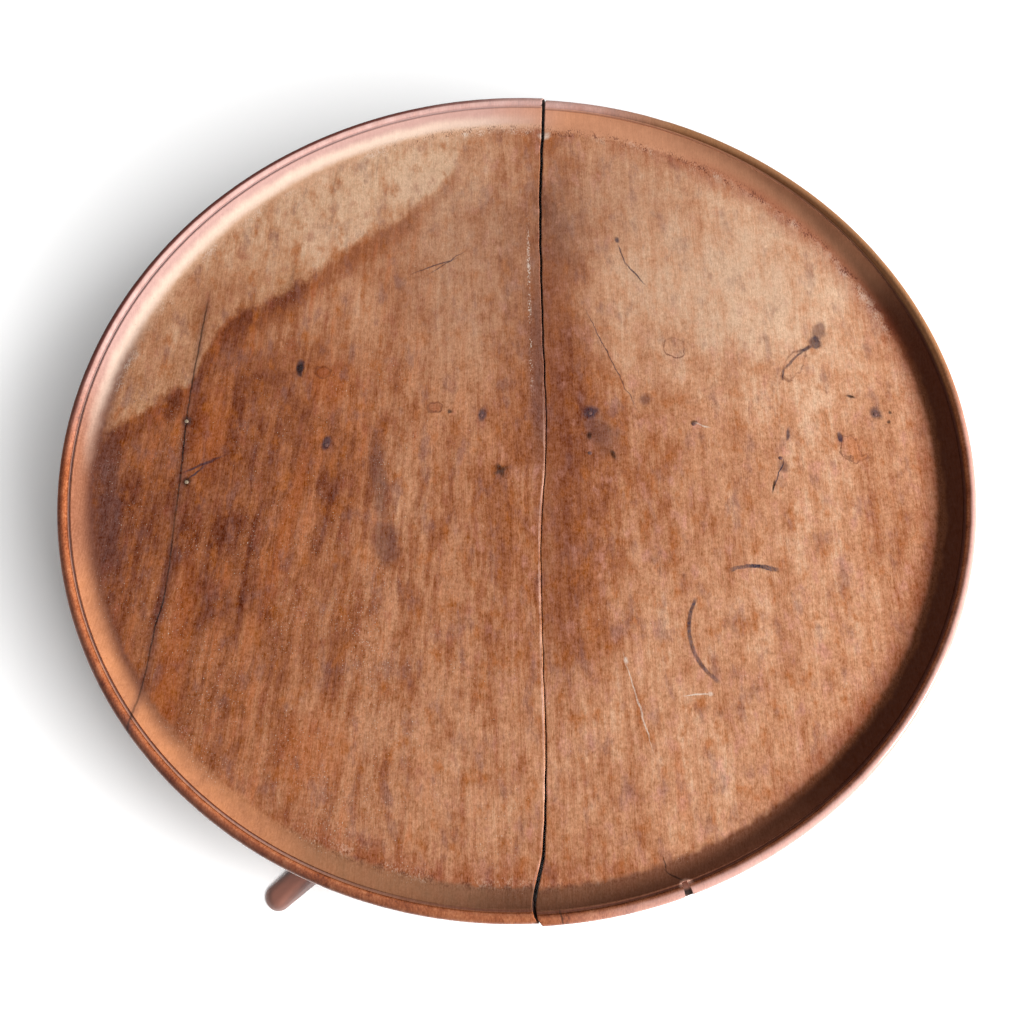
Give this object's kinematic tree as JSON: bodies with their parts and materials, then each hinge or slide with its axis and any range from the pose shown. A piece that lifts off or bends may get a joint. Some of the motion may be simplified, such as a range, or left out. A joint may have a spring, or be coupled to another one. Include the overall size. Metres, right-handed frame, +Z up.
{
  "type": "round tripod wine table",
  "caption": "Round dished wooden table top with a moulded rim, split along its grain and held by a nailed cleat, on a turned column with dovetailed swept legs.",
  "frame": {"origin": "on the floor, under the axis of the column", "axes": "+Z up; +Y along the grain of the top, away from the viewer of the picture; +X to the viewer's right"},
  "size_m": [0.56, 0.5614, 0.47],
  "materials": {
    "top_mahogany": "worn, sun-bleached and stained old polish",
    "patch_mahogany": "worn old polish, a little darker than the boards",
    "base_mahogany": "dark red-brown polish, satin",
    "bare_mahogany": "unpolished, dry and dusty",
    "nail_iron": "worn iron with dark stain",
    "screw_iron": "dull dark iron",
    "strap_iron": "forged iron, brown with light rust"
  },
  "bodies": {
    "root": {"top_board_left": "top_mahogany", "top_board_right": "top_mahogany", "rim_patch": "patch_mahogany", "cross_cleat": "bare_mahogany", "cleat_nails": "nail_iron", "cleat_screws": "screw_iron", "column": "base_mahogany", "tenon_wedge": "bare_mahogany", "front_left_leg": "base_mahogany", "right_leg": "base_mahogany", "back_leg": "base_mahogany", "leg_brace_plate": "strap_iron", "brace_screws": "screw_iron"}
  },
  "joints": []
}
